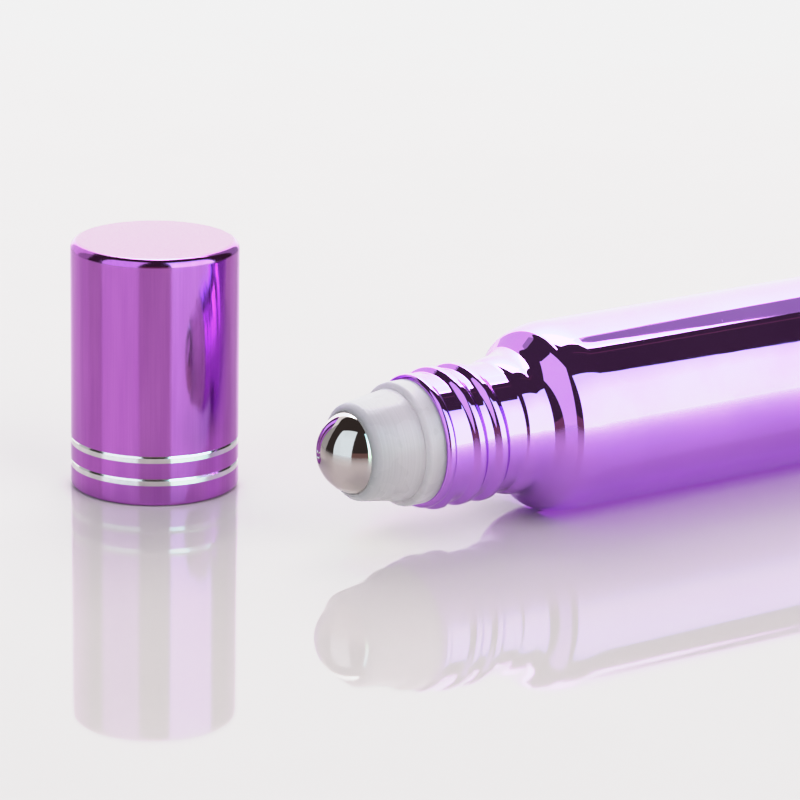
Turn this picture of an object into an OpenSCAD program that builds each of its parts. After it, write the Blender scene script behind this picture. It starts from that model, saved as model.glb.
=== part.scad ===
// Roll-on bottle lying on its side, with its cap standing mouth down beside it.
// Millimetres, +Z up, floor at z = 0. The bottle's axis runs along X, roller towards -X, base towards +X.

/* [Glass bottle] */
// outside diameter of the glass body
body_d = 20; // [19:0.2:24]
// length of the glass from its base to its lip
glass_h = 73; // [56:1:95]
// thickness of the glass wall
wall_t = 1.9; // [1.6:0.05:2]
// thickness of the glass base
base_t = 3.2; // [2.4:0.1:5]
// radius of the shoulder's edge
shoulder_r = 1.75; // [1:0.05:2.5]
// large radius that eases the body into the shoulder's edge
ease_r = 8.3; // [6:0.1:9]
// radius where the shoulder runs into the collar
neck_fillet = 2.7; // [1.5:0.1:3]
// outside diameter of the neck
neck_d = 13.5; // [13.3:0.05:13.8]
// length of the neck from the lip to its collar
neck_h = 9.65; // [9.4:0.05:11]
// length of the collar, which swells towards the shoulder
collar_h = 2; // [1.5:0.1:2.5]
// how far the collar's foot stands out from the neck
collar_w = 0.5; // [0.3:0.02:0.6]
// radius round the edge of the base
heel_r = 1.6; // [1:0.1:2.2]

/* [Screw finish] */
// how far the crest of the screw thread stands out from the neck
thread_h = 0.5; // [0.4:0.02:0.6]
// gap between the cap's inside and the bottle's finish
thread_gap = 0.2; // [0.15:0.01:0.25]

/* [Roller] */
// diameter of the steel ball
ball_d = 8.8; // [8.4:0.05:9]
// gap all round the ball in its socket
ball_gap = 0.06; // [0.03:0.01:0.1]
// wall of the ball's cage at the ball's centre
cage_t = 0.62; // [0.6:0.02:0.8]
// height of the ball's centre over the flange
cage_h = 4.2; // [4:0.1:4.8]
// diameter of the flange on the glass lip
flange_d = 12.8; // [12.6:0.05:13.2]
// thickness of the flange
flange_h = 2.1; // [1.6:0.1:2.6]
// length of the plug in the neck
plug_len = 7.6; // [6:0.2:9]
// bore that feeds the ball
feed_d = 4.9; // [4:0.1:5.4]

/* [Cap] */
// thickness of the metal shell
shell_t = 0.5; // [0.4:0.05:0.6]
// wall of the liner outside its thread
liner_t = 0.84; // [0.7:0.02:1.4]
// thickness of the liner over the ball
liner_top_t = 2; // [1.2:0.1:2.5]
// height of the lower bright ring over the mouth
ring_low = 2.25; // [1.8:0.05:3]
// distance from one bright ring to the next
ring_step = 2.45; // [1.4:0.05:3.5]
// height of a bright ring
ring_w = 0.76; // [0.5:0.02:1]
// depth that a bright ring is cut into the shell
ring_depth = 0.16; // [0.1:0.01:0.2]

/* [Layout] */
// how far the cap's axis stands beyond the ball's centre, along the bottle's axis
cap_ahead = 6.4; // [0:0.2:20]
// how far the cap's axis stands to the side of the bottle's axis
cap_aside = 29; // [24:0.5:60]

/* [Hidden] */
$fn = 96;

// glass body
body_r = body_d / 2;
shoulder_slope = 45;
ease_slope = 21.5;
inner_shoulder_r = 4;
arc_steps = 10;
dish_rim_share = 0.66;
dish_rim_r = body_r * dish_rim_share;
dish_depth = 0.7;
dish_r = (dish_rim_r * dish_rim_r + dish_depth * dish_depth) / (2 * dish_depth);
inner_heel_r = 2.2;

// neck
neck_r = neck_d / 2;
crest_r = neck_r + thread_h;
lip_bead = 0.16;
lip_r = neck_r + lip_bead;
lip_band = 1.1;
lip_round = 0.45;
lip_in = 0.2;

// collar, measured up from the base
neck_z = glass_h - neck_h;
collar_z = neck_z - collar_h;
collar_r = neck_r + collar_w;
collar_round = (collar_h * collar_h + collar_w * collar_w) / (2 * collar_w);
collar_slope = asin(collar_h / collar_round);

// tangent points of the shoulder
low_r = collar_r + neck_fillet * (1 - cos(shoulder_slope));
low_z = collar_z - neck_fillet * sin(shoulder_slope);
edge_r = body_r - ease_r * (1 - cos(ease_slope));
high_r = edge_r - shoulder_r * (cos(ease_slope) - cos(shoulder_slope));
high_z = low_z - (high_r - low_r) / tan(shoulder_slope);
edge_z = high_z - shoulder_r * (sin(shoulder_slope) - sin(ease_slope));
shoulder_z = edge_z - ease_r * sin(ease_slope);

// same on the inside of the wall
in_r = body_r - wall_t;
in_neck_r = neck_r - wall_t;
inner_fillet = neck_fillet + wall_t;
in_wall_r = low_r - wall_t * cos(shoulder_slope);
in_wall_z = low_z - wall_t * sin(shoulder_slope);
in_low_r = in_neck_r + inner_fillet * (1 - cos(shoulder_slope));
in_low_z = in_wall_z + (in_wall_r - in_low_r) / tan(shoulder_slope);
in_high_r = in_r - inner_shoulder_r * (1 - cos(shoulder_slope));
in_high_z = in_wall_z - (in_high_r - in_wall_r) / tan(shoulder_slope);
in_shoulder_z = in_high_z - inner_shoulder_r * sin(shoulder_slope);
in_neck_z = in_low_z + inner_fillet * sin(shoulder_slope);

// roller housing
ball_r = ball_d / 2;
socket_r = ball_r + ball_gap;
flange_z = glass_h + flange_h;
ball_z = flange_z + cage_h;
cage_top_r = socket_r + cage_t;
cage_taper = 0.68;
cage_foot_r = cage_top_r + cage_taper;
nose_r = 0.95;
nose_rise = 0.4;
nose_z = ball_z + nose_rise;
flange_r = flange_d / 2;
flange_round = 0.45;
plug_gap = 0.1;
plug_r = in_neck_r - plug_gap;
plug_tip = 0.45;
plug_z = glass_h - plug_len;
rib_press = 0.03;
rib_r = in_neck_r + rib_press;
rib_half = 0.6;
rib_flat_share = 0.3;
rib_shares = [0.25, 0.5, 0.75];
feed_r = feed_d / 2;
funnel_wall = 1;
funnel_r = plug_r - funnel_wall;
funnel_share = 0.6;
slot_w = 1.05;
slot_out_share = 0.76;
slot_out = ball_r * slot_out_share;

// seat of the cap on the bottle, measured up from the base
cap_over = 1.44;
cap_seat_z = collar_z - cap_over;

// bores of the liner, measured up from the cap's mouth
bore_r = max(crest_r, lip_r, flange_r) + thread_gap;
bore_top = glass_h - cap_seat_z + thread_gap;
flange_bore_r = flange_r + thread_gap;
flange_bore_top = flange_z - cap_seat_z + thread_gap;
cage_bore_r = cage_foot_r + thread_gap;
cage_bore_top = ball_z + ball_r - cap_seat_z + thread_gap;

// cap shell
liner_gap = 0.06;
liner_r = bore_r + liner_t;
in_shell_r = liner_r + liner_gap;
cap_r = in_shell_r + shell_t;
liner_top = cage_bore_top + liner_top_t;
cap_h = liner_top + shell_t;
top_round = 0.55;
rim_round = shell_t;
curl_share = 0.5;
curl_in = shell_t * curl_share;
ring_apex_share = 0.66;
ring_lows = [ring_low, ring_low + ring_step];

// cap liner
liner_low = rim_round - liner_gap;
seal_r = 2;
seal_w = 0.7;
seal_flare = 0.28;
seal_z = ball_z - cap_seat_z + sqrt(ball_r * ball_r - seal_r * seal_r);
mouth_chamfer = 0.38;
rib_count = 16;
rib_w = 0.9;
liner_press = 0.03;
press_r = in_shell_r + liner_press;

// placing of the whole layout
low_x = min(-cap_ahead - cap_r, -ball_r);
shift_x = -(ball_z + low_x) / 2;
low_y = min(-body_r, cap_aside - cap_r);
high_y = max(body_r, cap_aside + cap_r);
shift_y = -(low_y + high_y) / 2;

module lay_down() {
  translate([ball_z + shift_x, shift_y, body_r])
    rotate([0, -90, 0])
      children();
}

module stand_cap() {
  translate([shift_x - cap_ahead, shift_y + cap_aside, 0])
    children();
}

// points of an arc, whose angles are measured from the direction that points outwards
function arc_points(centre_r, centre_z, r, start, end) = [
  for (i = [0 : arc_steps])
    let (a = start + (end - start) * i / arc_steps)
      [centre_r + r * cos(a), centre_z + r * sin(a)]
];

module shoulder_outside() {
  polygon([
    [0, shoulder_z],
    each arc_points(body_r - ease_r, shoulder_z, ease_r, 0, ease_slope),
    each arc_points(
      edge_r - shoulder_r * cos(ease_slope), edge_z - shoulder_r * sin(ease_slope), shoulder_r,
      ease_slope, shoulder_slope
    ),
    each arc_points(collar_r + neck_fillet, collar_z, neck_fillet, 180 + shoulder_slope, 180),
    each arc_points(collar_r - collar_round, collar_z, collar_round, 0, collar_slope),
    [0, neck_z]
  ]);
}

module shoulder_inside() {
  polygon([
    [0, in_shoulder_z],
    each arc_points(in_r - inner_shoulder_r, in_shoulder_z, inner_shoulder_r, 0, shoulder_slope),
    each arc_points(in_neck_r + inner_fillet, in_neck_z, inner_fillet, 180 + shoulder_slope, 180),
    [0, in_neck_z]
  ]);
}

module glass_outside() {
  difference() {
    union() {
      translate([0, heel_r])
        square([body_r, shoulder_z - heel_r]);
      square([body_r - heel_r, heel_r]);
      translate([body_r - heel_r, heel_r])
        circle(r = heel_r);
    }
    translate([0, dish_depth - dish_r])
      circle(r = dish_r);
  }
  shoulder_outside();
  translate([0, neck_z])
    square([neck_r, neck_h - lip_band]);
  translate([0, glass_h - lip_band])
    square([lip_r - lip_round, lip_band]);
  translate([0, glass_h - lip_band + lip_round])
    square([lip_r, lip_band - 2 * lip_round]);
  translate([lip_r - lip_round, glass_h - lip_round])
    circle(r = lip_round);
  translate([lip_r - lip_round, glass_h - lip_band + lip_round])
    circle(r = lip_round);
}

module glass_inside() {
  translate([0, base_t + inner_heel_r])
    square([in_r, in_shoulder_z - base_t - inner_heel_r]);
  translate([0, base_t])
    square([in_r - inner_heel_r, inner_heel_r]);
  translate([in_r - inner_heel_r, base_t + inner_heel_r])
    circle(r = inner_heel_r);
  shoulder_inside();
  translate([0, in_neck_z])
    square([in_neck_r, glass_h - in_neck_z]);
  polygon([
    [0, glass_h - lip_in], [in_neck_r, glass_h - lip_in],
    [in_neck_r + 2 * lip_in, glass_h + lip_in], [0, glass_h + lip_in]
  ]);
}

module glass_bottle() {
  color([0.62, 0.32, 0.8])
    lay_down()
      rotate_extrude()
        difference() {
          glass_outside();
          glass_inside();
        }
}

module housing_area() {
  // cage round the ball, from inside the flange to the rounded nose
  polygon([
    [0, glass_h + flange_h / 2], [cage_foot_r, glass_h + flange_h / 2], [cage_foot_r, flange_z],
    [cage_top_r, nose_z], [0, nose_z]
  ]);
  translate([0, nose_z])
    square([cage_top_r - nose_r, nose_r]);
  intersection() {
    translate([cage_top_r - nose_r, nose_z])
      circle(r = nose_r);
    translate([0, nose_z])
      square([cage_top_r, nose_r]);
  }
  // flange that rests on the glass lip
  translate([0, glass_h])
    square([flange_r, flange_h - flange_round]);
  translate([0, flange_z - flange_round])
    square([flange_r - flange_round, flange_round]);
  translate([flange_r - flange_round, flange_z - flange_round])
    circle(r = flange_round);
  // plug in the neck, with a chamfered tip
  polygon([
    [0, plug_z], [plug_r - plug_tip, plug_z], [plug_r, plug_z + plug_tip],
    [plug_r, glass_h + flange_h / 2], [0, glass_h + flange_h / 2]
  ]);
  // sealing ribs
  for (share = rib_shares)
    translate([0, glass_h - plug_len * share])
      polygon([
        [0, -rib_half], [plug_r, -rib_half], [rib_r, -rib_half * rib_flat_share],
        [rib_r, rib_half * rib_flat_share], [plug_r, rib_half], [0, rib_half]
      ]);
}

// ball socket, feed bore and its funnel
module housing_hollow() {
  translate([0, ball_z])
    circle(r = socket_r);
  translate([0, plug_z - plug_tip])
    square([feed_r, ball_z - plug_z]);
  polygon([
    [0, plug_z - plug_tip], [funnel_r, plug_z - plug_tip], [funnel_r, plug_z],
    [feed_r, plug_z + plug_len * funnel_share], [0, plug_z + plug_len * funnel_share]
  ]);
}

module roller_housing() {
  color([0.93, 0.93, 0.95])
    lay_down()
      difference() {
        rotate_extrude()
          difference() {
            housing_area();
            housing_hollow();
          }
        // feed grooves under the ball
        for (a = [0 : 90 : 270])
          rotate([0, 0, a])
            translate([0, -slot_w / 2, ball_z - socket_r])
              cube([slot_out, slot_w, socket_r]);
      }
}

module roller_ball() {
  color([0.8, 0.81, 0.83])
    lay_down()
      translate([0, 0, ball_z])
        sphere(r = ball_r);
}

// v-shaped cut round the shell, deepest above its middle
module ring_cut(z) {
  translate([cap_r, z])
    polygon([
      [0, 0], [ring_depth, 0], [ring_depth, ring_w], [0, ring_w], [-ring_depth, ring_w * ring_apex_share]
    ]);
}

module shell_area() {
  difference() {
    union() {
      translate([0, rim_round])
        square([cap_r, cap_h - rim_round - top_round]);
      translate([cap_r - rim_round, rim_round])
        circle(r = rim_round);
      translate([0, cap_h - top_round])
        square([cap_r - top_round, top_round]);
      translate([cap_r - top_round, cap_h - top_round])
        circle(r = top_round);
      translate([in_shell_r - curl_in, 0])
        square([cap_r - rim_round - in_shell_r + curl_in, rim_round]);
    }
    translate([0, liner_low])
      square([in_shell_r, liner_top - liner_low]);
    translate([0, -rim_round])
      square([in_shell_r - curl_in, rim_round + rim_round]);
    for (z = ring_lows)
      ring_cut(z);
  }
}

module cap_shell() {
  color([0.7, 0.36, 0.82])
    stand_cap()
      rotate_extrude()
        shell_area();
}

module liner_area() {
  difference() {
    translate([0, liner_low])
      square([liner_r, liner_top - liner_low]);
    square([bore_r, bore_top]);
    square([flange_bore_r, flange_bore_top]);
    square([cage_bore_r, cage_bore_top]);
    translate([0, liner_low])
      polygon([[0, 0], [bore_r + mouth_chamfer, 0], [bore_r, mouth_chamfer], [0, mouth_chamfer]]);
  }
  // ring that seals on the ball
  polygon([
    [seal_r, seal_z], [seal_r + seal_w, seal_z], [seal_r + seal_w + seal_flare, liner_top - liner_top_t / 2],
    [seal_r - seal_flare, liner_top - liner_top_t / 2]
  ]);
}

module cap_liner() {
  color([0.95, 0.95, 0.94])
    stand_cap() {
      rotate_extrude()
        liner_area();
      // ribs that hold the liner in the shell
      for (k = [0 : rib_count - 1])
        rotate([0, 0, k * 360 / rib_count])
          translate([liner_r - liner_t / 2, -rib_w / 2, liner_low])
            cube([press_r - liner_r + liner_t / 2, rib_w, liner_top - liner_low]);
    }
}

glass_bottle();
roller_housing();
roller_ball();
cap_shell();
cap_liner();
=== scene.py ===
"""Looks of a roll-on bottle that lies on its side, with its cap standing mouth down beside it."""
import math

import bpy
from mathutils import Matrix, Vector


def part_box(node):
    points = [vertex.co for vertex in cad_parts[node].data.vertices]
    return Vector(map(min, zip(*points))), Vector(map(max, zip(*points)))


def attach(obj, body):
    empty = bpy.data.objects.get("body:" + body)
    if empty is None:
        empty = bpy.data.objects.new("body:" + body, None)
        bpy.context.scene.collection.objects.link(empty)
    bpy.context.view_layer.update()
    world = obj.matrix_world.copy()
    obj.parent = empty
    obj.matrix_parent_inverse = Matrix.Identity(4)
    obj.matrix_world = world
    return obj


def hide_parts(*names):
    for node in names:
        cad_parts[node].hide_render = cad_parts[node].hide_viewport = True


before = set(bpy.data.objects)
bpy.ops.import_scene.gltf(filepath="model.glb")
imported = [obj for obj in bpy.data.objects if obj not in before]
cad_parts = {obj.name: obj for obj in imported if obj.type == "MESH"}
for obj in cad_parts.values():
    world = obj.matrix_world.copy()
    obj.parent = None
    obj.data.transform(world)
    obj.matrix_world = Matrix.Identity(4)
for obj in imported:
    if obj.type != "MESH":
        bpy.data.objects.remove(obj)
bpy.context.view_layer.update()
MM = 0.001
FULL_TURN = 2 * math.pi

# Places, taken from the frame
glass_low, glass_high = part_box("glass_bottle")
ball_low, ball_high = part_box("roller_ball")
shell_low, shell_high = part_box("cap_shell")
BALL = (ball_low + ball_high) / 2
BASE_X = glass_high.x
CAP = Vector(((shell_low.x + shell_high.x) / 2, (shell_low.y + shell_high.y) / 2, 0))

# Sizes in millimetres. Those of the bottle are the same as in the solids, but for the steeper slope
BODY_R = (glass_high.z - glass_low.z) / 2 / MM
GLASS_H = (glass_high.x - glass_low.x) / MM
BALL_R = (ball_high.z - ball_low.z) / 2 / MM
WALL = 1.9
BASE_T = 3.2
SHOULDER_R = 1.75
SHOULDER_SLOPE = math.radians(48)
EASE_R = 8.3
EASE_SLOPE = math.radians(21.5)
INNER_SHOULDER_R = 4
NECK_R = 6.75
NECK_H = 9.65
NECK_FILLET = 2.7
COLLAR_H = 2
COLLAR_W = 0.5
COLLAR_FILLET = 0.4
HEEL_R = 1.6
INNER_HEEL_R = 2.2
DISH_R = 6.6
DISH_DEPTH = 0.7
LIP_BEAD = 0.16
LIP_BAND = 1.1
LIP_ROUND = 0.45

# Screw thread. Its upper end lies a drop below the lip
PITCH = 2.7
THREAD_H = 0.5
THREAD_DROP = 1.57
THREAD_TOP = GLASS_H - THREAD_DROP
THREAD_START = math.radians(230)
THREAD_TURN = math.radians(790)
THREAD_FADE = math.radians(26)
THREAD_FLAT = 0.24
THREAD_FOOT = 0.98

# Cap, with a larger round at the top than the solid has. Its two bright rings start at these heights,
# and have a step in, a steep face and a bevel, whose ends are given as depth and height in the ring
CAP_R = (shell_high.x - shell_low.x) / 2 / MM
CAP_H = shell_high.z / MM
SHELL_T = 0.5
TOP_ROUND = 0.95
SATIN_FADE = (0.12, 0.03)
RING_LOWS = (2.25, 4.7)
RING_W = 0.76
RING_FACE = (0.035, 0.5)
RING_EDGE = (0.145, 0.71)
RING_FACES = 3

# Threaded sleeve, let into the bore of the cap's liner and proud of it by less than a hair
LINER_BORE_R = 7.45
SLEEVE_PROUD = 0.02
SLEEVE_SUNK = 0.15
SLEEVE_R = LINER_BORE_R - SLEEVE_PROUD
SLEEVE_OUTER_R = LINER_BORE_R + SLEEVE_SUNK
SLEEVE_LOW = 1.3
SLEEVE_HIGH = 9.6
SLEEVE_THREAD_H = 0.42
SLEEVE_THREAD_DROP = 1.2
SLEEVE_THREAD_TOP = SLEEVE_HIGH - SLEEVE_THREAD_DROP

# Fineness of the meshes: columns round an axis, and steps in millimetres along it
BOTTLE_COLUMNS = 300
BALL_COLUMNS = 128
CAP_COLUMNS = 256
SLEEVE_COLUMNS = 180
BODY_STEP = 1.2
NECK_STEP = 0.09
SLEEVE_STEP = 0.12
SHARP_ANGLE = math.radians(32)

# Tolerances when radii are compared
SLACK = 0.01
ON_AXIS = 1e-6


# Outlines: lists of (radius, height) in millimetres

def arc(centre_r, centre_z, radius, start, end, steps=12):
    """Points on an arc, with its angles in degrees from the direction that points outwards."""
    angles = [math.radians(start + (end - start) * i / steps) for i in range(steps + 1)]
    return [(centre_r + radius * math.cos(a), centre_z + radius * math.sin(a)) for a in angles]


def refine(outline, longest):
    """The same outline with its long stretches divided. longest(z) is the step wanted at a height."""
    points = [outline[0]]
    for (r0, z0), (r1, z1) in zip(outline, outline[1:]):
        length = math.hypot(r1 - r0, z1 - z0)
        count = max(1, math.ceil(length / longest((z0 + z1) / 2)))
        points += [(r0 + (r1 - r0) * i / count, z0 + (z1 - z0) * i / count) for i in range(1, count + 1)]
    return points


# Placing: from radius, angle and height in millimetres to a point of the frame

def on_bottle(r, angle, z):
    """Heights run from the base towards the lip, which lies towards -X."""
    return (BASE_X - z * MM, BALL.y + r * math.sin(angle) * MM, BALL.z + r * math.cos(angle) * MM)


def on_ball(r, angle, z):
    """Heights run from the ball's middle towards -X."""
    return (BALL.x - z * MM, BALL.y + r * math.sin(angle) * MM, BALL.z + r * math.cos(angle) * MM)


def on_cap(r, angle, z):
    """Heights run upwards from the floor."""
    return (CAP.x + r * math.cos(angle) * MM, CAP.y + r * math.sin(angle) * MM, z * MM)


# Meshes

def add_object(name, points, faces):
    """A new object in the scene, with a mesh of these points and faces."""
    mesh = bpy.data.meshes.new(name)
    mesh.from_pydata(points, [], faces)
    made = bpy.data.objects.new(name, mesh)
    bpy.context.scene.collection.objects.link(made)
    return made


def no_bump(angle, z, r):
    return 0


def lathe(name, outline, place, columns, bump=no_bump, bright=(), creases=()):
    """Turns an outline into a closed mesh. bump(angle, z, r) adds to the radius of a point. The rings of
    faces in bright take the second material, and the rings of edges in creases stay sharp."""
    points, faces, slots, rings = [], [], [], []
    for r, z in outline:
        if r < ON_AXIS:
            rings.append([len(points)])
            points.append(place(0, 0, z))
            continue
        rings.append(list(range(len(points), len(points) + columns)))
        for j in range(columns):
            angle = FULL_TURN * j / columns
            points.append(place(r + bump(angle, z, r), angle, z))
    if outline[0] == outline[-1]:
        rings[-1] = rings[0]
        del points[-columns:]
    for i, (low, high) in enumerate(zip(rings, rings[1:])):
        for j in range(columns):
            k = (j + 1) % columns
            if len(low) == 1:
                faces.append((low[0], high[k], high[j]))
            elif len(high) == 1:
                faces.append((low[j], low[k], high[0]))
            else:
                faces.append((low[j], low[k], high[k], high[j]))
            slots.append(1 if i in bright else 0)
    piece = add_object(name, points, faces)
    mesh = piece.data
    mesh.polygons.foreach_set("material_index", slots)
    mesh.shade_smooth()
    mesh.set_sharp_from_angle(angle=SHARP_ANGLE)
    ring_of = {k: i for i in creases for k in rings[i]}
    for edge in mesh.edges:
        a, b = edge.vertices
        if a in ring_of and ring_of[a] == ring_of.get(b):
            edge.use_edge_sharp = True
    mesh.validate()
    return piece


# Materials. Sizes and depths of their textures are in millimetres

# Stretch that leaves no change along an axis
ENDLESS = 1e6

# Sockets of the Mix node that carry colours
COLOUR_A, COLOUR_B, COLOUR_OUT = 6, 7, 2


def new_material(name):
    material = bpy.data.materials.new(name)
    material.use_nodes = True
    return material, material.node_tree, material.node_tree.nodes["Principled BSDF"]


def set_inputs(node, values):
    for name, value in values.items():
        node.inputs[name].default_value = value


def add(tree, kind, **values):
    """A new node, with the values of its inputs."""
    made = tree.nodes.new("ShaderNode" + kind)
    set_inputs(made, values)
    return made


def noise(tree, size, detail=2, stretch=(1, 1, 1)):
    """Noise with features of a size, drawn out along the stretched axes."""
    place = add(tree, "TexCoord")
    scale = add(tree, "Mapping", Scale=[1 / (size * MM * s) for s in stretch])
    made = add(tree, "TexNoise", Scale=1, Detail=detail)
    tree.links.new(place.outputs["Object"], scale.inputs["Vector"])
    tree.links.new(scale.outputs[0], made.inputs["Vector"])
    return made.outputs[0]


def height(tree):
    """Height above the floor in metres."""
    place = add(tree, "TexCoord")
    split = add(tree, "SeparateXYZ")
    tree.links.new(place.outputs["Object"], split.inputs[0])
    return split.outputs["Z"]


def shades(tree, source, first, second, start=0.35, end=0.65):
    """Colour or grey that runs from first to second as the source rises from start to end."""
    made = tree.nodes.new("ShaderNodeValToRGB")
    for stop, position, tone in zip(made.color_ramp.elements, (start, end), (first, second)):
        stop.position = position
        stop.color = (*tone, 1) if isinstance(tone, tuple) else (tone, tone, tone, 1)
    tree.links.new(source, made.inputs["Fac"])
    return made.outputs["Color"]


def mix(tree, kind, first, second, factor=None):
    """The first source with the second laid over it, fully or by a factor."""
    made = tree.nodes.new("ShaderNodeMix")
    made.data_type = "RGBA"
    made.blend_type = kind
    made.inputs["Factor"].default_value = 1
    if factor:
        tree.links.new(factor, made.inputs["Factor"])
    tree.links.new(first, made.inputs[COLOUR_A])
    tree.links.new(second, made.inputs[COLOUR_B])
    return made.outputs[COLOUR_OUT]


def bumps(tree, shader, *layers):
    """Bumps from textures, each with its depth."""
    last = None
    for source, depth in layers:
        made = add(tree, "Bump", Strength=1, Distance=depth * MM)
        tree.links.new(source, made.inputs["Height"])
        if last:
            tree.links.new(last.outputs[0], made.inputs["Normal"])
        last = made
    tree.links.new(last.outputs[0], shader.inputs["Normal"])


def coated_glass():
    """Glass under a purple mirror coating, with faint waves, smudges and specks of dust."""
    material, tree, shader = new_material("coated_glass")
    colour = shades(tree, noise(tree, size=9, detail=3), (0.62, 0.225, 0.94), (0.67, 0.255, 0.99))
    smudges = shades(tree, noise(tree, size=7, detail=5), 0.015, 0.05)
    specks = shades(tree, noise(tree, size=0.35, detail=1), 0.0, 0.2, start=0.77, end=0.81)
    waves = noise(tree, size=3.2, detail=1)
    grain = noise(tree, size=0.5)
    tree.links.new(colour, shader.inputs["Base Color"])
    tree.links.new(mix(tree, "ADD", smudges, specks), shader.inputs["Roughness"])
    bumps(tree, shader, (waves, 0.006), (grain, 0.0002))
    set_inputs(shader, {"Metallic": 0.975, "Specular Tint": (0.85, 0.6, 0.92, 1)})
    set_inputs(shader, {"Coat Weight": 0.8, "Coat Roughness": 0.02})
    return material


def anodised():
    """Drawn aluminium, anodised purple, with fine lines along the draw. Its flat end is satin and paler."""
    material, tree, shader = new_material("anodised_aluminium")
    lines = noise(tree, size=0.11, stretch=(1, 1, 90))
    broad = noise(tree, size=1.6, stretch=(1, 1, 12))
    waves = noise(tree, size=2.5, detail=1, stretch=(1, 1, 6))
    grain = noise(tree, size=0.25, detail=3)
    purple = shades(tree, broad, (0.53, 0.15, 0.64), (0.59, 0.182, 0.70))
    side = mix(tree, "MULTIPLY", purple, shades(tree, lines, 0.93, 1.0))
    satin = shades(tree, grain, (0.335, 0.162, 0.295), (0.365, 0.18, 0.32))
    fade_low, fade_high = [(CAP_H - depth) * MM for depth in SATIN_FADE]
    end = add(tree, "MapRange")
    set_inputs(end, {"From Min": fade_low, "From Max": fade_high})
    tree.links.new(height(tree), end.inputs["Value"])
    tree.links.new(mix(tree, "MIX", side, satin, end.outputs[0]), shader.inputs["Base Color"])
    smooth, dull = shades(tree, lines, 0.09, 0.15), shades(tree, grain, 0.26, 0.34)
    tree.links.new(mix(tree, "MIX", smooth, dull, end.outputs[0]), shader.inputs["Roughness"])
    bumps(tree, shader, (lines, 0.0008), (waves, 0.003))
    set_inputs(shader, {"Metallic": 1})
    return material


def cut_metal():
    """Bare aluminium of the diamond-cut rings, with the fine lines of the cutter."""
    material, tree, shader = new_material("cut_aluminium")
    lines = noise(tree, size=0.03, stretch=(ENDLESS, ENDLESS, 1))
    patches = noise(tree, size=0.8, detail=3)
    colour = shades(tree, patches, (0.86, 0.87, 0.88), (0.94, 0.94, 0.95))
    tree.links.new(colour, shader.inputs["Base Color"])
    tree.links.new(shades(tree, lines, 0.08, 0.2), shader.inputs["Roughness"])
    bumps(tree, shader, (lines, 0.0006))
    set_inputs(shader, {"Metallic": 1})
    return material


def steel():
    """Polished steel with hair scratches and a few smudges."""
    material, tree, shader = new_material("polished_steel")
    smudges = noise(tree, size=1.8, detail=4)
    scratches = noise(tree, size=0.05, detail=1, stretch=(1, 30, 9))
    colour = shades(tree, smudges, (0.60, 0.55, 0.535), (0.65, 0.595, 0.58))
    tree.links.new(colour, shader.inputs["Base Color"])
    tree.links.new(shades(tree, smudges, 0.015, 0.05), shader.inputs["Roughness"])
    bumps(tree, shader, (scratches, 0.0001))
    set_inputs(shader, {"Metallic": 1})
    return material


def milky_plastic():
    """Natural plastic that light soaks into, with faint rings from its turned mould."""
    material, tree, shader = new_material("natural_plastic")
    clouds = noise(tree, size=4)
    rings = noise(tree, size=0.32, detail=1, stretch=(1, ENDLESS, ENDLESS))
    grain = noise(tree, size=0.2)
    milk = shades(tree, clouds, (0.58, 0.535, 0.565), (0.59, 0.545, 0.575))
    colour = mix(tree, "MULTIPLY", milk, shades(tree, rings, 0.93, 1.0))
    tree.links.new(colour, shader.inputs["Base Color"])
    tree.links.new(shades(tree, clouds, 0.24, 0.34), shader.inputs["Roughness"])
    bumps(tree, shader, (rings, 0.035), (grain, 0.001))
    set_inputs(shader, {"Subsurface Weight": 1, "Subsurface Radius": (5, 4.8, 4.6)})
    set_inputs(shader, {"Subsurface Scale": MM, "Sheen Weight": 1, "Sheen Roughness": 0.8})
    return material


def white_plastic():
    """White moulded plastic of the liner."""
    material, tree, shader = new_material("liner_plastic")
    clouds = noise(tree, size=2, detail=3)
    grain = noise(tree, size=0.12)
    colour = shades(tree, clouds, (0.80, 0.80, 0.775), (0.88, 0.88, 0.86))
    tree.links.new(colour, shader.inputs["Base Color"])
    tree.links.new(shades(tree, clouds, 0.33, 0.5), shader.inputs["Roughness"])
    bumps(tree, shader, (grain, 0.002))
    set_inputs(shader, {"Subsurface Weight": 0.2, "Subsurface Radius": (0.8, 0.8, 0.7)})
    set_inputs(shader, {"Subsurface Scale": MM})
    return material


def white_acrylic():
    """Glossy white sheet that the pieces stand on."""
    material, tree, shader = new_material("floor")
    clouds = noise(tree, size=30, detail=4)
    colour = shades(tree, clouds, (0.735, 0.705, 0.655), (0.75, 0.72, 0.67))
    tree.links.new(colour, shader.inputs["Base Color"])
    tree.links.new(shades(tree, clouds, 0.03, 0.05), shader.inputs["Roughness"])
    set_inputs(shader, {"IOR": 1.29})
    return material


# Bottle

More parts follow.
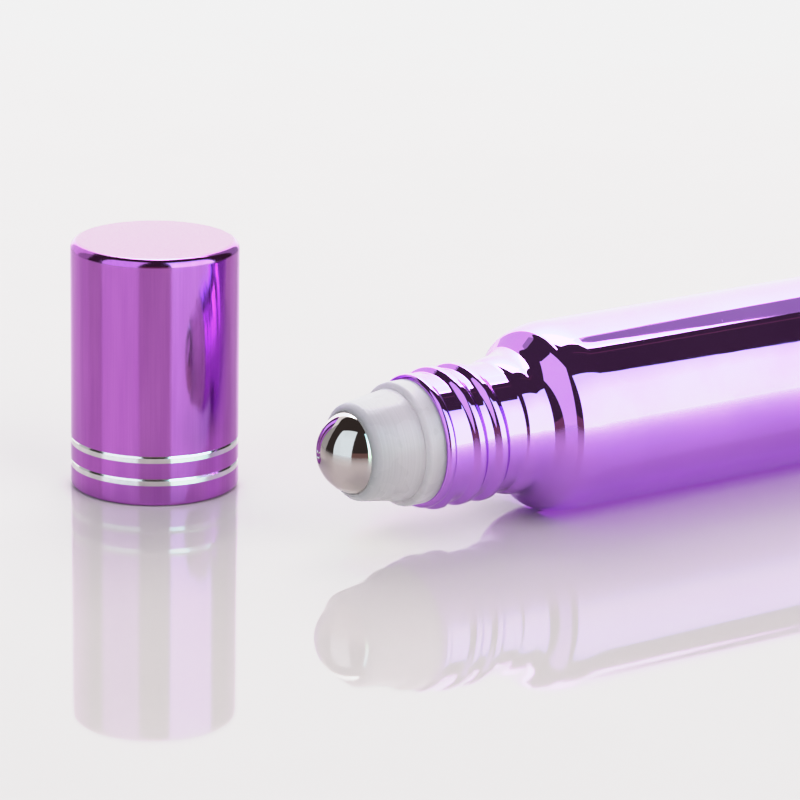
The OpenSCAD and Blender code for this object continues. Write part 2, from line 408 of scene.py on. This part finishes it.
def glass_outline():
    """From the middle of the dish in the base, up the outside, over the lip and down the inside."""
    dish = (DISH_R ** 2 + DISH_DEPTH ** 2) / (2 * DISH_DEPTH)
    dish_angle = math.degrees(math.asin(DISH_R / dish))
    slope, ease = math.degrees(SHOULDER_SLOPE), math.degrees(EASE_SLOPE)
    cos_slope, sin_slope = math.cos(SHOULDER_SLOPE), math.sin(SHOULDER_SLOPE)
    # collar and its fillet into the neck
    neck_z = GLASS_H - NECK_H
    collar_z, collar_r = neck_z - COLLAR_H, NECK_R + COLLAR_W
    collar_round = (COLLAR_H ** 2 + COLLAR_W ** 2) / (2 * COLLAR_W)
    fillet_r = NECK_R + COLLAR_FILLET
    fillet_away = collar_round + COLLAR_FILLET
    fillet_rise = math.sqrt(fillet_away ** 2 - (fillet_r - collar_r + collar_round) ** 2)
    fillet_turn = math.degrees(math.asin(fillet_rise / fillet_away))
    # shoulder, from the collar out to the body
    low_r = collar_r + NECK_FILLET * (1 - cos_slope)
    low_z = collar_z - NECK_FILLET * sin_slope
    edge_r = BODY_R - EASE_R * (1 - math.cos(EASE_SLOPE))
    high_r = edge_r - SHOULDER_R * (math.cos(EASE_SLOPE) - cos_slope)
    high_z = low_z - (high_r - low_r) / math.tan(SHOULDER_SLOPE)
    edge_z = high_z - SHOULDER_R * (sin_slope - math.sin(EASE_SLOPE))
    shoulder_z = edge_z - EASE_R * math.sin(EASE_SLOPE)
    round_r = edge_r - SHOULDER_R * math.cos(EASE_SLOPE)
    round_z = edge_z - SHOULDER_R * math.sin(EASE_SLOPE)
    # inside, a wall's thickness in from the slope of the shoulder
    in_r, bore_r, in_fillet = BODY_R - WALL, NECK_R - WALL, NECK_FILLET + WALL
    wall_r, wall_z = low_r - WALL * cos_slope, low_z - WALL * sin_slope
    in_low_r = bore_r + in_fillet * (1 - cos_slope)
    in_neck_z = wall_z + (wall_r - in_low_r) / math.tan(SHOULDER_SLOPE) + in_fillet * sin_slope
    in_high_r = in_r - INNER_SHOULDER_R * (1 - cos_slope)
    in_high_z = wall_z - (in_high_r - wall_r) / math.tan(SHOULDER_SLOPE)
    in_shoulder_z = in_high_z - INNER_SHOULDER_R * sin_slope
    # lip
    lip_r = NECK_R + LIP_BEAD
    lip_low = GLASS_H - LIP_BAND
    bead_start = -math.degrees(math.acos((NECK_R - lip_r + LIP_ROUND) / LIP_ROUND))
    outline = arc(0, DISH_DEPTH - dish, dish, 90, 90 - dish_angle, steps=16)
    outline += arc(BODY_R - HEEL_R, HEEL_R, HEEL_R, -90, 0)
    outline += arc(BODY_R - EASE_R, shoulder_z, EASE_R, 0, ease, steps=20)
    outline += arc(round_r, round_z, SHOULDER_R, ease, slope, steps=16)
    outline += arc(collar_r + NECK_FILLET, collar_z, NECK_FILLET, 180 + slope, 180, steps=26)
    outline += arc(collar_r - collar_round, collar_z, collar_round, 0, fillet_turn, steps=16)
    outline += arc(fillet_r, collar_z + fillet_rise, COLLAR_FILLET, 180 + fillet_turn, 180, steps=8)
    outline += arc(lip_r - LIP_ROUND, lip_low + LIP_ROUND, LIP_ROUND, bead_start, 0, steps=6)
    outline += arc(lip_r - LIP_ROUND, GLASS_H - LIP_ROUND, LIP_ROUND, 0, 90, steps=8)
    outline += [(bore_r + LIP_ROUND, GLASS_H), (bore_r, GLASS_H - LIP_ROUND)]
    outline += arc(bore_r + in_fillet, in_neck_z, in_fillet, 180, 180 + slope)
    outline += arc(in_r - INNER_SHOULDER_R, in_shoulder_z, INNER_SHOULDER_R, slope, 0)
    outline += arc(in_r - INNER_HEEL_R, BASE_T + INNER_HEEL_R, INNER_HEEL_R, 0, -90, steps=8)
    return outline + [(0, BASE_T)]


def eased(share):
    """A share held between 0 and 1, with soft ends."""
    held = min(1, max(0, share))
    return held * held * (3 - 2 * held)


def crest(distance, across):
    """Height of the crest at an angle along the thread from its nearer end, and across from its middle."""
    side = (THREAD_FOOT - abs(across)) / (THREAD_FOOT - THREAD_FLAT)
    return THREAD_H * eased(distance / THREAD_FADE) * eased(side)


def thread(angle, z, top):
    """Height of a right-hand thread at a point, with its upper end at the start angle and the top."""
    tallest = 0
    for k in range(math.ceil(THREAD_TURN / FULL_TURN)):
        back = (THREAD_START - angle) % FULL_TURN + FULL_TURN * k
        if back <= THREAD_TURN:
            centre = top - PITCH * back / FULL_TURN
            tallest = max(tallest, crest(min(back, THREAD_TURN - back), z - centre))
    return tallest


def neck_thread(angle, z, r):
    """Bump on the outside of the neck. The bore is narrower and stays plain."""
    if r < NECK_R - SLACK or not GLASS_H - NECK_H < z < GLASS_H:
        return 0
    return thread(angle, z, THREAD_TOP)


def bottle_step(z):
    return NECK_STEP if GLASS_H - NECK_H < z < GLASS_H - LIP_BAND else BODY_STEP


def bottle():
    outline = refine(glass_outline(), bottle_step)
    piece = lathe("coated_bottle", outline, on_bottle, BOTTLE_COLUMNS, neck_thread)
    piece.data.materials.append(coated_glass())
    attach(piece, "bottle")
    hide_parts("glass_bottle")


def ball():
    outline = arc(0, 0, BALL_R, -90, 90, steps=64)
    piece = lathe("steel_ball", outline, on_ball, BALL_COLUMNS)
    piece.data.materials.append(steel())
    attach(piece, "ball")
    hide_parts("roller_ball")


# Cap

def shell_outline():
    """From the middle of the end, down the inside, round the rim and up the outside. Also gives the
    places in the outline where the bright rings start."""
    inner, turned_in = CAP_R - SHELL_T, CAP_R - SHELL_T - SHELL_T / 2
    outline = [(0, CAP_H - SHELL_T), (inner, CAP_H - SHELL_T), (inner, SHELL_T), (turned_in, SHELL_T)]
    outline += [(turned_in, 0)]
    outline += arc(CAP_R - SHELL_T, SHELL_T, SHELL_T, -90, 0, steps=8)
    starts = []
    for low in RING_LOWS:
        starts.append(len(outline))
        outline += [(CAP_R, low), (CAP_R - RING_FACE[0], low + RING_FACE[1])]
        outline += [(CAP_R - RING_EDGE[0], low + RING_EDGE[1]), (CAP_R, low + RING_W)]
    outline += arc(CAP_R - TOP_ROUND, CAP_H - TOP_ROUND, TOP_ROUND, 0, 90, steps=24)
    return outline + [(0, CAP_H)], starts


def cap():
    outline, starts = shell_outline()
    bright = {start + i for start in starts for i in range(RING_FACES)}
    creases = {start + i for start in starts for i in range(RING_FACES + 1)}
    piece = lathe("cap_metal", outline, on_cap, CAP_COLUMNS, bright=bright, creases=creases)
    piece.data.materials.append(anodised())
    piece.data.materials.append(cut_metal())
    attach(piece, "cap")
    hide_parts("cap_shell")


def sleeve_thread(angle, z, r):
    """Bump on the inside of the sleeve, towards the axis."""
    if r > SLEEVE_R + SLACK:
        return 0
    return -thread(angle, z, SLEEVE_THREAD_TOP) * SLEEVE_THREAD_H / THREAD_H


def sleeve_step(z):
    return SLEEVE_STEP


def liner_thread(plastic):
    """Thread inside the cap, as a sleeve let into the liner's bore."""
    outline = [(SLEEVE_OUTER_R, SLEEVE_LOW), (SLEEVE_OUTER_R, SLEEVE_HIGH)]
    outline += refine([(SLEEVE_R, SLEEVE_HIGH), (SLEEVE_R, SLEEVE_LOW)], sleeve_step)
    outline += [(SLEEVE_OUTER_R, SLEEVE_LOW)]
    piece = lathe("liner_thread", outline, on_cap, SLEEVE_COLUMNS, sleeve_thread)
    piece.data.materials.append(plastic)
    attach(piece, "cap")


def plastics():
    """Materials of the pieces that keep their solids, and the cap's thread in the liner's plastic."""
    natural, white = milky_plastic(), white_plastic()
    for node, plastic in (("roller_housing", natural), ("cap_liner", white)):
        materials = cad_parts[node].data.materials
        materials.clear()
        materials.append(plastic)
    liner_thread(white)


# Camera, fitted to the outlines in the photograph

AIM_FROM_BALL = Vector((4.886, 0, 4.6))
VIEW_TARGET = BALL + AIM_FROM_BALL * MM
VIEW_YAW = 0.60787
VIEW_PITCH = 0.28622
VIEW_ROLL = 0.01833
VIEW_DISTANCE = 0.43
PHOTO_WIDTH = 800
PHOTO_FOCUS = 4255.27
SENSOR = 36
CLIP_START = 0.01

# Directions of the view, level with the floor
AHEAD = Vector((math.sin(VIEW_YAW), math.cos(VIEW_YAW), 0))
ASIDE = Vector((math.cos(VIEW_YAW), -math.sin(VIEW_YAW), 0))


def camera():
    forward = AHEAD * math.cos(VIEW_PITCH) - Vector((0, 0, math.sin(VIEW_PITCH)))
    up = ASIDE.cross(forward)
    right = ASIDE * math.cos(VIEW_ROLL) + up * math.sin(VIEW_ROLL)
    up = up * math.cos(VIEW_ROLL) - ASIDE * math.sin(VIEW_ROLL)
    data = bpy.data.cameras.new("camera")
    data.sensor_width = SENSOR
    data.lens = SENSOR * PHOTO_FOCUS / PHOTO_WIDTH
    data.clip_start = CLIP_START
    view = bpy.data.objects.new("camera", data)
    turn = Matrix((right, up, -forward)).transposed().to_4x4()
    view.matrix_world = Matrix.Translation(VIEW_TARGET - forward * VIEW_DISTANCE) @ turn
    bpy.context.scene.collection.objects.link(view)
    bpy.context.scene.camera = view


# Floor and wall, in metres

FLOOR_HALF = 6
BACKDROP_AWAY = 2.2
BACKDROP_H = 4
BACKDROP_COLUMNS = 48

# Panels stand round the ball, at this distance in metres. Their corners are degrees to the right of
# straight ahead and degrees above the level, fitted to the reflections in the photograph. The upright
# ones reach a little below the level

PANEL_AWAY = 3
FOOT = -3
BACK_LEFT, BACK_SPLIT, BACK_RIGHT = -27, 24, 48.6
BACK_PEAK = 67.5
SCREEN_LEFT = -58
RIGHT_END = 155
TALL_BACK = ((BACK_LEFT, FOOT), (BACK_SPLIT, FOOT), (BACK_SPLIT, BACK_PEAK), (8, 75), (-12, 72), (-24, 62),
             (BACK_LEFT, 50))
LOW_BACK = ((BACK_SPLIT, FOOT), (BACK_RIGHT, FOOT), (BACK_RIGHT, 53), (36, 59), (BACK_SPLIT, BACK_PEAK))
CARD_TOP = ((24.3, 44), (26.4, 47.8), (30.5, 50.2), (35.4, 51.2), (40.5, 51.3), (45, 50.8), (48.8, 50.3))
CARD_BEND = 30
CARD_TINT = (0.93, 0.97, 1.03)
LEFT_CARD = ((-80, FOOT), (SCREEN_LEFT, FOOT), (SCREEN_LEFT, 42), (-72, 35), (-80, 22), (-82, 8))
LEFT_SCREEN = ((SCREEN_LEFT, FOOT), (BACK_LEFT, FOOT), (BACK_LEFT, 50), (-33, 45), (-40, 42.5),
               (SCREEN_LEFT, 42))
LEFT_BOX = ((-109, FOOT), (-104, 30), (-98, 52), (-169, 67), (-160, FOOT))
RIGHT_BOX = ((90, FOOT), (90, 44.5), (105, 51), (122, 56), (140, 61), (RIGHT_END, 61), (RIGHT_END, FOOT))
WARM_STRIP = ((RIGHT_END, FOOT), (203, FOOT), (203, 9), (RIGHT_END, 9))
STAND = ((57, 30), (58.5, 30), (63, 75), (60, 75))
OVERHEAD = [(azimuth, 60) for azimuth in range(0, 360, 30)]

# Purple light round the lower half of the barrel: degrees from the top, and millimetres
GLOW_START, GLOW_SPAN = 70, 220
GLOW_GAP = 0.05
GLOW_BELOW_NECK = 6
GLOW_COLUMNS = 24

# Colour ramps hold values up to 1, so that the light is scaled down and up again
GLOW_SCALE = 10

# Brightness of the scene, then of the picture, both linear. The channels part only where it is bright
BRIGHTEST = 5
DARK_TONES = ((0.5, 0.48), (0.86, 0.785), (1.0, 0.83), (1.2, 0.88))
RED_TONES = ((1.5, 0.89), (2.4, 0.895), (3.4, 0.92))
GREEN_TONES = ((1.5, 0.9), (2.4, 0.915), (3.4, 0.985))
BLUE_TONES = ((1.5, 0.915), (2.4, 0.965), (3.4, 0.995))


def direction(azimuth, elevation):
    """Unit vector at degrees to the right of straight ahead, and above the level."""
    a, e = math.radians(azimuth), math.radians(elevation)
    return (AHEAD * math.cos(a) + ASIDE * math.sin(a)) * math.cos(e) + Vector((0, 0, math.sin(e)))


def glow(name, *stops):
    """Plain light. Its stops are the colours wanted at rising elevations, the first one at the level."""
    material = bpy.data.materials.new(name)
    material.use_nodes = True
    tree = material.node_tree
    tree.nodes.clear()
    rise = add(tree, "Math")
    rise.operation = "DIVIDE"
    rise.inputs[1].default_value = PANEL_AWAY
    ramp = tree.nodes.new("ShaderNodeValToRGB")
    marks = ramp.color_ramp.elements
    marks.remove(marks[1])
    for k, (elevation, colour) in enumerate(stops):
        mark = marks[0] if k == 0 else marks.new(math.sin(math.radians(elevation)))
        mark.color = (*(c / GLOW_SCALE for c in colour), 1)
    light = add(tree, "Emission", Strength=GLOW_SCALE)
    output = add(tree, "OutputMaterial")
    tree.links.new(height(tree), rise.inputs[0])
    tree.links.new(rise.outputs[0], ramp.inputs["Fac"])
    tree.links.new(ramp.outputs["Color"], light.inputs["Color"])
    tree.links.new(light.outputs[0], output.inputs["Surface"])
    return material


def greys(*stops):
    """Stops of a glow whose colours are plain greys."""
    return [(elevation, (value, value, value)) for elevation, value in stops]


def panel(name, corners, *stops, near=1, mirrored=True, lights=True):
    """A flat light or card, seen in the pieces but not by the camera. It can be kept out of reflections,
    or give no light but its reflection."""
    points = [BALL + direction(*corner) * PANEL_AWAY * near for corner in corners]
    piece = add_object(name, points, [range(len(corners))])
    piece.data.materials.append(glow(name, *stops))
    piece.visible_camera = False
    piece.visible_glossy = mirrored
    piece.visible_diffuse = lights


def floor():
    half = FLOOR_HALF
    piece = add_object("floor", [(-half, -half, 0), (half, -half, 0), (half, half, 0), (-half, half, 0)],
                       [(0, 1, 2, 3)])
    piece.data.materials.append(white_acrylic())


def backdrop():
    """Pale wall round the pieces, inside the ring of panels and seen by the camera only."""
    columns = BACKDROP_COLUMNS
    foot = [direction(360 * j / columns, 0) * BACKDROP_AWAY for j in range(columns)]
    top = [point + Vector((0, 0, BACKDROP_H)) for point in foot]
    nexts = [(j + 1) % columns for j in range(columns)]
    faces = [(j, k, columns + k, columns + j) for j, k in enumerate(nexts)]
    piece = add_object("backdrop", foot + top, faces)
    piece.data.materials.append(glow("backdrop", *greys((0, 1.15))))
    piece.visible_diffuse = piece.visible_glossy = False
    piece.visible_transmission = piece.visible_shadow = False


def studio():
    """Lights and cards, placed so that the reflections fall where the photograph has them."""
    world = bpy.data.worlds.new("studio")
    world.use_nodes = True
    set_inputs(world.node_tree.nodes["Background"], {"Color": (1, 0.78, 0.72, 1), "Strength": 0.046})
    bpy.context.scene.world = world
    # behind, a tall light and a lower one on its right, brightest near their tops
    tall_gleam = greys((0, 1.85), (20, 2.6), (28, 3.2), (34, 3.7), (40, 4.4), (43, 5.5), (45, 9))
    low_gleam = greys((0, 1.6), (50.5, 4), (52, 9))
    for corners, gleam in ((TALL_BACK, tall_gleam), (LOW_BACK, low_gleam)):
        panel("back_light", corners, *greys((0, 2.1), (45, 4)), mirrored=False)
        panel("back_gleam", corners, *gleam, lights=False)
    # before the lower one, a card that makes the wedge on the barrel. A paler and larger card just
    # behind it softens its edge
    for wider, higher, near, shade in ((1, 0.2, 0.782, 1.6), (0, 0, 0.76, 0.5)):
        top = [(a - wider if a < CARD_BEND else a, e + higher) for a, e in CARD_TOP]
        corners = [(top[0][0], FOOT), *top, (top[-1][0], FOOT)]
        panel("back_card", corners, (0, tuple(c * shade for c in CARD_TINT)), near=near)
    # on the left
    panel("left_card", LEFT_CARD, *greys((0, 0.5)))
    panel("left_screen", LEFT_SCREEN, *greys((0, 1.1)))
    panel("left_box", LEFT_BOX, (0, (1.12, 1.3, 1.38)))
    # on the right
    right_gleam = ((0, (1.8, 3.2, 2.2)), (12, (1.95, 3.15, 2.8)), (25, (2, 3.1, 3.3)), (46, (1.3, 2.3, 2.5)))
    panel("right_box", RIGHT_BOX, *greys((0, 2.8), (12, 3)), mirrored=False)
    panel("right_gleam", RIGHT_BOX, *right_gleam, lights=False)
    panel("warm_strip", WARM_STRIP, (0, (0.22, 0.12, 0.11)))
    panel("stand", STAND, (0, (0.16, 0.09, 0.08)))
    # above
    panel("overhead_fill", OVERHEAD, (0, (1.02, 0.8, 1.16)), mirrored=False)


def tinted_glow():
    """Purple light that the coated glass throws on the floor round it. It shows in no reflection."""
    angles = [math.radians(GLOW_START + GLOW_SPAN * j / GLOW_COLUMNS) for j in range(GLOW_COLUMNS + 1)]
    ends = (HEEL_R, GLASS_H - NECK_H - GLOW_BELOW_NECK)
    points = [on_bottle(BODY_R + GLOW_GAP, angle, z) for z in ends for angle in angles]
    row = len(angles)
    faces = [(j, j + 1, row + j + 1, row + j) for j in range(GLOW_COLUMNS)]
    piece = add_object("tinted_glow", points, faces)
    piece.data.materials.append(glow("tinted_glow", (0, (0.38, 0.07, 0.75))))
    piece.visible_camera = piece.visible_glossy = piece.visible_shadow = False


def picture_tones():
    """Standard view with curves that hold the bright lilac reflections short of white."""
    view = bpy.context.scene.view_settings
    view.view_transform = "Standard"
    view.use_curve_mapping = True
    mapping = view.curve_mapping
    mapping.white_level = (BRIGHTEST, BRIGHTEST, BRIGHTEST)
    for curve, bright_tones in zip(mapping.curves, (RED_TONES, GREEN_TONES, BLUE_TONES)):
        curve.points[0].location, curve.points[-1].location = (0, 0), (1, 1)
        for scene_value, picture_value in DARK_TONES + bright_tones:
            curve.points.new(scene_value / BRIGHTEST, picture_value)
        for point in curve.points:
            point.handle_type = "VECTOR"
    mapping.update()


camera()
floor()
backdrop()
studio()
tinted_glow()
bottle()
ball()
cap()
plastics()
picture_tones()
